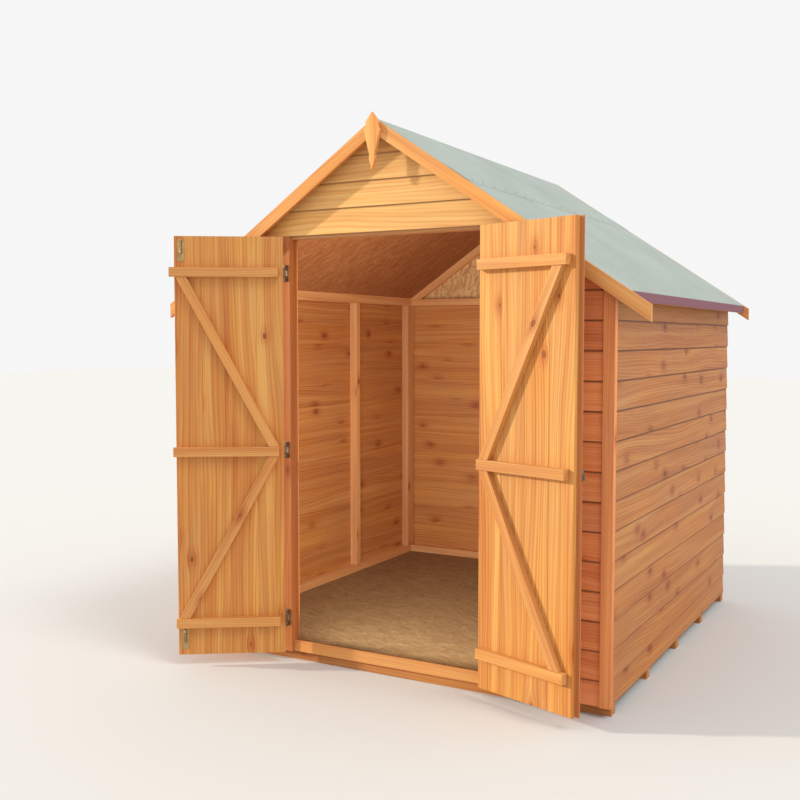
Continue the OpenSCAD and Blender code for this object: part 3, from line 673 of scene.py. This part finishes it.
def headBlank(name, radius, height, dished):
    # a nail's flat head, or a screw's with its driver recess
    rings = [(1.0, -0.4), (1.0, 0.55), (0.82, 1.0), (0.42, 1.0), (0.30, dished)]
    work = bmesh.new()
    around = 10
    loops = [[work.verts.new((radius * r * math.cos(a), radius * r * math.sin(a), height * h))
              for a in (2 * math.pi * k / around for k in range(around))] for r, h in rings]
    for low, high in zip(loops, loops[1:]):
        for k in range(around):
            j = (k + 1) % around
            work.faces.new([low[k], low[j], high[j], high[k]])
    work.faces.new(loops[-1])
    work.faces.new(list(reversed(loops[0])))
    bmesh.ops.recalc_face_normals(work, faces=work.faces)
    return blankFrom(work, name)


def placed(mesh, matrix):
    mesh.transform(matrix)
    if matrix.determinant() < 0:
        mesh.flip_normals()
    return mesh


def joined(name, meshes):
    work = bmesh.new()
    for mesh in meshes:
        work.from_mesh(mesh)
    whole = meshFrom(work, name)
    for mesh in meshes:
        bpy.data.meshes.remove(mesh)
    return whole


# Walls. cover is what shows of a board, firstCover what shows of the lowest one; the gable holds
# gableRows boards. foot and head are a board's thickness at its lower and upper edge
wallSizes = dict(cover=mm(103.5), firstCover=mm(91.5), gableRows=4.05, lap=mm(12), foot=mm(15),
                 footBack=mm(10.6), head=mm(9.6), slope=math.tan(math.radians(34)), wander=mm(1.6),
                 ease=0.4, underRoof=mm(3))


def lapSection(show):
    tall = show + wallSizes["lap"]
    rebate = wallSizes["lap"] + mm(0.2)
    fall = (wallSizes["foot"] - wallSizes["head"]) / tall

    def face(height):
        return wallSizes["foot"] - fall * height

    # the third numbers paint shade on the top of the face just under the next board's foot, on the foot's lower edge
    # and on the hidden back
    return [(wallSizes["foot"], 0, 0.5), (face(mm(3)), mm(3), 0.0), (face(show - mm(9)), show - mm(9), 0.0),
            (face(show - mm(3.5)), show - mm(3.5), 1.0), (wallSizes["head"], tall, 1.0), (0, tall, 0.0),
            (0, rebate, 0.0), (wallSizes["footBack"], rebate, 1.0), (wallSizes["footBack"], 0, 1.0)]


# Cuts boards off level at the top and, in a gable, along both roof slopes
def sawnUnder(mesh, top, ridge):
    planes = [((0, 0, top), (0, 0, 1))]
    if ridge:
        planes += [((0, 0, ridge), (sign * wallSizes["slope"], 0, 1)) for sign in (1, -1)]
    work = bmesh.new()
    work.from_mesh(mesh)
    layer = work.loops.layers.uv["grain"]
    for spot, normal in planes:
        cut = bmesh.ops.bisect_plane(work, geom=work.verts[:] + work.edges[:] + work.faces[:], dist=mm(0.002),
                                     plane_co=spot, plane_no=normal, clear_outer=True)
        rim = [item for item in cut["geom_cut"] if isinstance(item, bmesh.types.BMEdge)]
        for face in bmesh.ops.holes_fill(work, edges=rim, sides=0)["faces"]:
            for loop in face.loops:
                loop[layer].uv = (loop.vert.co.x, loop.vert.co.y)
    bmesh.ops.dissolve_degenerate(work, dist=mm(0.01), edges=work.edges)
    bmesh.ops.recalc_face_normals(work, faces=work.faces)
    work.to_mesh(mesh)
    work.free()
    return mesh


def lapBoards(name, x0, x1, bottom, top, ridge, matrix, seed, finish, cover, first=None):
    meshes = []
    low = bottom
    if first:
        blank = boardBlank(name + "First", x0, x1, lapSection(first), wallSizes["ease"])
        meshes.append(grown(name + "Foot", boardRow, {
            "Blank": blank, "Count": 1, "Start": (0, 0, bottom), "Wander": wallSizes["wander"],
            "Seed": seed + 50, "Finish": finish}))
        bpy.data.objects.remove(blank)
        low = bottom + first
    count = math.ceil((top - low) / cover - 0.05)
    blank = boardBlank(name + "Blank", x0, x1, lapSection(cover), wallSizes["ease"])
    meshes.append(grown(name + "Rows", boardRow, {
        "Blank": blank, "Count": count, "Start": (0, 0, low), "Pitch": (0, 0, cover),
        "Wander": wallSizes["wander"], "Seed": seed, "Finish": finish}))
    bpy.data.objects.remove(blank)
    return placed(sawnUnder(joined(name, meshes), top, ridge), matrix)


frontLow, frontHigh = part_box("front_right_cladding")
gableLow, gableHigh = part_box("front_gable_cladding")
sideLow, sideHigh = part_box("right_wall_cladding")
backLow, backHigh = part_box("back_wall_cladding")
backGableLow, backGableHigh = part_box("back_gable_cladding")
frameFront = frontHigh.y
ridgeUnder = gableHigh.z

frontFace = Matrix.Translation((0, frameFront, 0))
backFace = Matrix.Translation((0, backLow.y, 0)) @ Matrix.Rotation(math.pi, 4, "Z")
rightFace = Matrix.Translation((sideLow.x, 0, 0)) @ Matrix.Rotation(math.pi / 2, 4, "Z")
leftFace = Matrix.Translation((-sideLow.x, 0, 0)) @ Matrix.Rotation(-math.pi / 2, 4, "Z")

cover, first = wallSizes["cover"], wallSizes["firstCover"]
gableCover = (gableHigh.z - gableLow.z) / wallSizes["gableRows"]
sideTop = sideHigh.z - wallSizes["underRoof"]
# name, from, to, bottom, top, ridge, face, seed, timber, cover, first cover, nodes
walls = [
    ("frontRightBoards", frontLow.x, frontHigh.x, frontLow.z, frontHigh.z, ridgeUnder, frontFace, 3,
     "frontPine", cover, first, "front_right_cladding"),
    ("frontLeftBoards", -frontHigh.x, -frontLow.x, frontLow.z, frontHigh.z, ridgeUnder, frontFace, 4,
     "frontPine", cover, first, "front_left_cladding"),
    ("rightWallBoards", sideLow.y, sideHigh.y, sideLow.z, sideTop, None, rightFace, 5,
     "claddingPine", cover, first, "right_wall_cladding"),
    ("leftWallBoards", -sideHigh.y, -sideLow.y, sideLow.z, sideTop, None, leftFace, 6,
     "claddingPine", cover, first, "left_wall_cladding"),
    ("backWallBoards", backLow.x, backHigh.x, backLow.z, backGableHigh.z, backGableHigh.z, backFace, 7,
     "claddingPine", cover, first, "back_wall_cladding", "back_gable_cladding"),
    ("frontGableBoards", gableLow.x, gableHigh.x, gableLow.z, gableHigh.z, ridgeUnder, frontFace, 11,
     "gablePine", gableCover, None, "front_gable_cladding"),
]
for name, x0, x1, bottom, top, ridge, face, seed, timber, shown, foot, *nodes in walls:
    mesh = lapBoards(name, x0, x1, bottom, top, ridge, face, seed, finishes[timber], shown, foot)
    newPiece(name, mesh, "shed", "wall_cladding", finishes[timber], *nodes)
print("walls boarded")


# Door leaves, from a closed leaf turned about its pin
doorSizes = dict(pinX=0.4295, pinY=-0.95, leftOpen=146, rightOpen=162, gap=mm(5), boards=4, groove=0.9,
                 air=mm(0.06), wide=mm(422), thick=mm(15), step=0.4)
leftLeaf = Matrix.Translation((-doorSizes["pinX"], doorSizes["pinY"], 0)) @ Matrix.Rotation(
    -math.radians(doorSizes["leftOpen"]), 4, "Z")
rightLeaf = Matrix.Translation((doorSizes["pinX"], doorSizes["pinY"], 0)) @ Matrix.Diagonal(
    (-1, 1, 1, 1)) @ Matrix.Rotation(-math.radians(doorSizes["rightOpen"]), 4, "Z")
leafLow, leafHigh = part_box("left_door_boards")


def leafBoards(name, matrix, seed):
    # each board lies along z; the blank runs along x and is stood up
    pitch, thick, air = doorSizes["wide"] / doorSizes["boards"], doorSizes["thick"], doorSizes["air"]
    section = [(0, air), (-thick, air), (-thick, pitch - air), (0, pitch - air)]
    blank = boardBlank(name + "Blank", leafLow.z, leafHigh.z, section, doorSizes["groove"],
                       doorSizes["step"])
    mesh = grown(name, boardRow, {
        "Blank": blank, "Count": doorSizes["boards"], "Start": (0, 0, 0), "Pitch": (0, 0, pitch),
        "Wander": 0.0, "Seed": seed, "Finish": finishes["doorPine"]})
    bpy.data.objects.remove(blank)
    stand = Matrix(((0, 0, 1, doorSizes["gap"]), (0, 1, 0, doorSizes["gap"]), (1, 0, 0, 0), (0, 0, 0, 1)))
    return placed(mesh, matrix @ stand)


for side, matrix, seed in (("left", leftLeaf, 21), ("right", rightLeaf, 24)):
    mesh = leafBoards(side + "LeafBoards", matrix, seed)
    newPiece(side + "LeafBoards", mesh, side + "_door", "door_boards", finishes["doorPine"],
             side + "_door_boards")
print("door leaves boarded")


# Roofing felt: a thin sheet with slight ripples, folded down at the eaves
feltSizes = dict(thick=mm(2.5), ripple=mm(0.7), waves=9, stepAcross=0.03, stepAlong=0.04, bend=mm(3),
                 lap=mm(66), foot=mm(0.15))


def feltSheet(name, node, outline, seed):
    # outline holds (outer point, inner point) pairs across the sheet
    low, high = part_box(node)
    draw = random.Random(seed)
    waves = [(draw.uniform(2, 9), draw.uniform(1, 6), draw.uniform(0, 6.3), draw.uniform(0.2, 1))
             for _ in range(feltSizes["waves"])]
    total = sum(w[3] for w in waves)
    across = []
    for (outA, inA), (outB, inB) in zip(outline, outline[1:]):
        bays = max(1, round((outB - outA).length / feltSizes["stepAcross"]))
        across += [(outA.lerp(outB, k / bays), inA.lerp(inB, k / bays)) for k in range(bays)]
    across.append(outline[-1])
    bays = round((high.y - low.y) / feltSizes["stepAlong"])
    work = bmesh.new()
    foldMark = work.verts.layers.float.new("fold")
    skins = ([], [])
    for k in range(bays + 1):
        y = low.y + (high.y - low.y) * k / bays
        for skin in skins:
            skin.append([])
        for i, (out, inner) in enumerate(across):
            edge = min(i, len(across) - 1 - i) / 4
            lift = sum(s * math.sin(a * y + b * 3 * i * feltSizes["stepAcross"] + p)
                       for a, b, p, s in waves) / total
            lift = feltSizes["ripple"] * 0.5 * (lift + 1) * min(1, edge)
            way = (out - inner).normalized()
            here = out + way * (lift - feltSizes["ripple"] * 0.3 * min(1, edge))
            down = 1.0 if abs(way.x) > 0.99 or here.y < foldTop else 0.0
            for skin, spot in zip(skins, (here, inner)):
                vert = work.verts.new((spot.x, y, spot.y))
                vert[foldMark] = down
                skin[-1].append(vert)
    top, under = skins
    n = len(across)
    for k in range(bays):
        for i in range(n - 1):
            work.faces.new([top[k][i], top[k + 1][i], top[k + 1][i + 1], top[k][i + 1]])
            work.faces.new([under[k][i], under[k][i + 1], under[k + 1][i + 1], under[k + 1][i]])
        work.faces.new([top[k][0], under[k][0], under[k + 1][0], top[k + 1][0]])
        work.faces.new([top[k][n - 1], top[k + 1][n - 1], under[k + 1][n - 1], under[k][n - 1]])
    for k in (0, bays):
        for i in range(n - 1):
            work.faces.new([top[k][i], top[k][i + 1], under[k][i + 1], under[k][i]])
    bmesh.ops.recalc_face_normals(work, faces=work.faces)
    newPiece(name, smoothed(meshFrom(work, name), 35), "shed", "roofing_felt", finishes["mineralFelt"], node)


slope = wallSizes["slope"]
rise = feltSizes["thick"] * math.sqrt(1 + slope * slope)
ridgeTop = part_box("front_right_barge")[1].z
eaveLow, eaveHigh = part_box("right_felt")
foldTop = ridgeTop - eaveHigh.x * slope - mm(2.5)
ridgeLow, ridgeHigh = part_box("ridge_felt")


def onFelt(x, up=0.0):
    return Vector((x, ridgeTop - abs(x) * slope + up))


def mirrored(pairs):
    return [(Vector((-a.x, a.y)), Vector((-b.x, b.y))) for a, b in reversed(pairs)]


edgeX = eaveHigh.x - feltSizes["thick"]
bend = feltSizes["bend"]
sideOutline = [(onFelt(eaveLow.x), onFelt(eaveLow.x, -rise)),
               (onFelt(eaveHigh.x - bend), onFelt(edgeX - bend, -rise)),
               (onFelt(eaveHigh.x) + Vector((-mm(1.2), -mm(0.8))), onFelt(edgeX, -rise)),
               (onFelt(eaveHigh.x) + Vector((0, -bend)),
                Vector((edgeX, onFelt(edgeX, -rise).y - bend))),
               (Vector((eaveHigh.x, eaveLow.z)), Vector((edgeX, eaveLow.z)))]
feltSheet("rightFeltSheet", "right_felt", sideOutline, 5)
feltSheet("leftFeltSheet", "left_felt", mirrored(sideOutline), 8)
# the ridge strip lies on the boards, then steps up on to the sheets
lapStart, foot = eaveLow.x, feltSizes["foot"]
stepX = lapStart - feltSizes["thick"]
flatX = stepX - feltSizes["lap"]
halfRidge = [(onFelt(0), onFelt(0, -rise)),
             (onFelt(flatX), onFelt(flatX, -rise)),
             (onFelt(stepX, rise), onFelt(stepX, -rise + mm(0.1))),
             (onFelt(lapStart, rise + foot), onFelt(lapStart, foot)),
             (onFelt(ridgeHigh.x, rise), onFelt(ridgeHigh.x, foot))]
feltSheet("ridgeFeltSheet", "ridge_felt", mirrored(halfRidge)[:-1] + halfRidge, 13)
print("felt laid")


# Ironmongery
def polished(node, body, slotName, finish, ease=0.5):
    work = nodeCopy(node)
    easedEdges(work, ease, 35)
    bmesh.ops.dissolve_degenerate(work, dist=mm(0.005), edges=work.edges)
    return newPiece(node + "Polished", smoothed(meshFrom(work, node), 40), body, slotName,
                    finishes[finish], node)


for node, body in (("left_hinge_plates", "shed"), ("right_hinge_plates", "shed"),
                   ("left_door_hinge_straps", "left_door"), ("right_door_hinge_straps", "right_door"),
                   ("right_door_hasp", "right_door")):
    polished(node, body, "zinc_steel", "zincPlate")
for node, body in (("left_door_bolt_barrels", "left_door"), ("top_bolt_rod", "top_bolt"),
                   ("bottom_bolt_rod", "bottom_bolt")):
    polished(node, body, "bolt_brass", "dullBrass")

# Heads. Nails go through the boards into each stud; x and y are where the studs stand
nailSizes = dict(radius=mm(2.2), height=mm(0.7), rows=13, up=mm(24), sink=mm(2), jitter=mm(4),
                 sideY=(-0.85, -0.29, 0.29, 0.85), backX=(-0.865, -0.282, 0.282, 0.865),
                 frontX=(-0.84, -0.44, 0.44, 0.84))
cloutSizes = dict(radius=mm(5), height=mm(1), count=19, pitch=0.1, inset=mm(18), up=mm(0.2), jitter=mm(3))
# hingeZ is the middle of each strap; straps lists (distance from the pin, pitch of a pair or 0)
screwSizes = dict(radius=mm(4), height=mm(1.6), recess=0.2, hingeZ=(1.5635, 0.8595, 0.1775),
                  straps=((mm(34), mm(18)), (mm(100), 0), (mm(170), 0), (mm(240), 0)), strapFace=mm(2),
                  plateX=-mm(23), plateY=-mm(928), platePitch=mm(40))
flatTop = 0.98
nailHead = headBlank("nailHead", nailSizes["radius"], nailSizes["height"], flatTop)
cloutHead = headBlank("cloutHead", cloutSizes["radius"], cloutSizes["height"], flatTop)
screwHead = headBlank("screwHead", screwSizes["radius"], screwSizes["height"], screwSizes["recess"])


def headsOn(head, columns, rows, columnPitch, rowPitch, matrix, seed, jitter, finish):
    mesh = grown("heads", headGrid, {
        "Head": head, "Columns": columns, "Rows": rows, "Column Pitch": columnPitch, "Row Pitch": rowPitch,
        "Jitter": jitter, "Seed": seed, "Finish": finish})
    return placed(mesh, matrix)


# Turns the grid of heads to face out of the surface that right and up lie in
def facing(origin, right, up):
    right, up = Vector(right), Vector(up)
    out = right.cross(up)
    return Matrix(((right.x, up.x, out.x, origin[0]), (right.y, up.y, out.y, origin[1]),
                   (right.z, up.z, out.z, origin[2]), (0, 0, 0, 1)))


steel, clout, zinc = finishes["nailSteel"], finishes["cloutGrey"], finishes["zincPlate"]
up = (0, 0, 1)
middleZ = sideLow.z + first + nailSizes["up"] + cover * (nailSizes["rows"] - 1) / 2
faceOut = wallSizes["foot"] - nailSizes["sink"]
# columns of nails: where the middle stands, which way is right, seed
columns = [((sign * (sideLow.x + faceOut), y, middleZ), (0, sign, 0), 40 + index)
           for index, y in enumerate(nailSizes["sideY"]) for sign in (1, -1)]
columns += [((x, backLow.y + faceOut, middleZ), (-1, 0, 0), 60 + index)
            for index, x in enumerate(nailSizes["backX"])]
columns += [((x, frameFront - faceOut, middleZ), (1, 0, 0), 70 + index)
            for index, x in enumerate(nailSizes["frontX"])]
wallNails = [headsOn(nailHead, 1, nailSizes["rows"], 0.1, cover, facing(spot, right, up), seed,
                     nailSizes["jitter"], steel) for spot, right, seed in columns]
newPiece("wallNails", joined("wallNails", wallNails), "shed", "zinc_steel", steel)

# Clouts along the laps of the ridge strip
tilt = math.atan(slope)
spot = onFelt(ridgeHigh.x - cloutSizes["inset"], rise + cloutSizes["up"])
feltClouts = [headsOn(cloutHead, 1, cloutSizes["count"], 0.1, cloutSizes["pitch"],
    facing((sign * spot.x, (ridgeLow.y + ridgeHigh.y) / 2, spot.y),
           (math.cos(tilt), 0, -sign * math.sin(tilt)), (0, 1, 0)),
    3 + sign, cloutSizes["jitter"], clout) for sign in (1, -1)]
newPiece("feltClouts", joined("feltClouts", feltClouts), "shed", "zinc_steel", clout)

# Screws in the straps and in the plates on the posts
plateFace = screwSizes["plateY"] - doorSizes["pinY"]
for side, leaf in (("left", leftLeaf), ("right", rightLeaf)):
    straps, plates = [], []
    closed = leaf @ Matrix.Rotation(math.radians(doorSizes[side + "Open"]), 4, "Z")
    for index, z in enumerate(screwSizes["hingeZ"]):
        for along, pairPitch in screwSizes["straps"]:
            straps.append(headsOn(screwHead, 1, 2 if pairPitch else 1, 0.01, pairPitch,
                leaf @ facing((along, screwSizes["strapFace"], z), (1, 0, 0), up), 80 + index, 0.0, zinc))
        plates.append(headsOn(screwHead, 1, 2, 0.01, screwSizes["platePitch"],
            closed @ facing((screwSizes["plateX"], plateFace, z), (1, 0, 0), up), 90 + index, 0.0, zinc))
    newPiece(side + "StrapScrews", joined("straps", straps), side + "_door", "zinc_steel", zinc)
    newPiece(side + "PlateScrews", joined("plates", plates), "shed", "zinc_steel", zinc)
for blank in (nailHead, cloutHead, screwHead):
    bpy.data.objects.remove(blank)
print("ironmongery fitted")


# Floor, light and camera
# Azimuths are counted from straight in front towards the left
studio = dict(floorSize=60, floor=0.64, sky=0.925,
              key=dict(strength=2.75, azimuth=64, elevation=19, softness=2.5, colour=(1.0, 0.94, 0.74)),
              side=dict(strength=1.0, azimuth=-76, elevation=52, softness=24, colour=(1.0, 0.95, 0.86)),
              inside=dict(watts=22.5, wide=0.8, high=1.5, colour=(0.94, 1.0, 1.0), place=(0, -0.88, 0.92)))
bpy.ops.mesh.primitive_plane_add(size=studio["floorSize"])
ground = bpy.context.object
ground.name = "ground"
groundFinish, tree, shader = newFinish("groundPaint")
shader.inputs["Base Color"].default_value = (studio["floor"],) * 3 + (1,)
shader.inputs["Roughness"].default_value = 1
shader.inputs["Specular IOR Level"].default_value = 0
ground.data.materials.append(groundFinish)

world = bpy.data.worlds.new("softSky")
scene.world = world
world.use_nodes = True
world.node_tree.nodes["Background"].inputs[0].default_value = (studio["sky"],) * 3 + (1,)
world.node_tree.nodes["Background"].inputs[1].default_value = 1.0


def sunLight(name, strength, azimuth, elevation, softness, colour):
    sun = bpy.data.objects.new(name, bpy.data.lights.new(name, "SUN"))
    sun.data.energy = strength
    sun.data.angle = math.radians(softness)
    sun.data.color = colour
    azimuth, elevation = math.radians(azimuth), math.radians(elevation)
    toSun = Vector((-math.sin(azimuth) * math.cos(elevation), -math.cos(azimuth) * math.cos(elevation),
                    math.sin(elevation)))
    sun.rotation_mode = "QUATERNION"
    sun.rotation_quaternion = toSun.to_track_quat("Z", "Y")
    scene.collection.objects.link(sun)


sunLight("keyLight", **studio["key"])
sunLight("sideLight", **studio["side"])

# soft light from the doorway into the shed
lamp = studio["inside"]
inside = bpy.data.objects.new("insideLight", bpy.data.lights.new("insideLight", "AREA"))
inside.data.shape = "RECTANGLE"
inside.data.size, inside.data.size_y = lamp["wide"], lamp["high"]
inside.data.energy = lamp["watts"]
inside.data.color = lamp["colour"]
inside.location = lamp["place"]
inside.rotation_euler = (math.radians(90), 0, 0)
inside.visible_camera = False
scene.collection.objects.link(inside)

view = dict(place=(1.9528, -4.282, 1.3089), turn=29.155, dip=3.49, lens=46.06, sensor=36)
camera = bpy.data.objects.new("camera", bpy.data.cameras.new("camera"))
camera.location = view["place"]
camera.rotation_euler = (math.radians(90 - view["dip"]), 0, math.radians(view["turn"]))
camera.data.lens = view["lens"]
camera.data.sensor_width = view["sensor"]
scene.collection.objects.link(camera)
scene.camera = camera
scene.view_settings.view_transform = "Standard"
print("studio set")

bpy.context.view_layer.update()
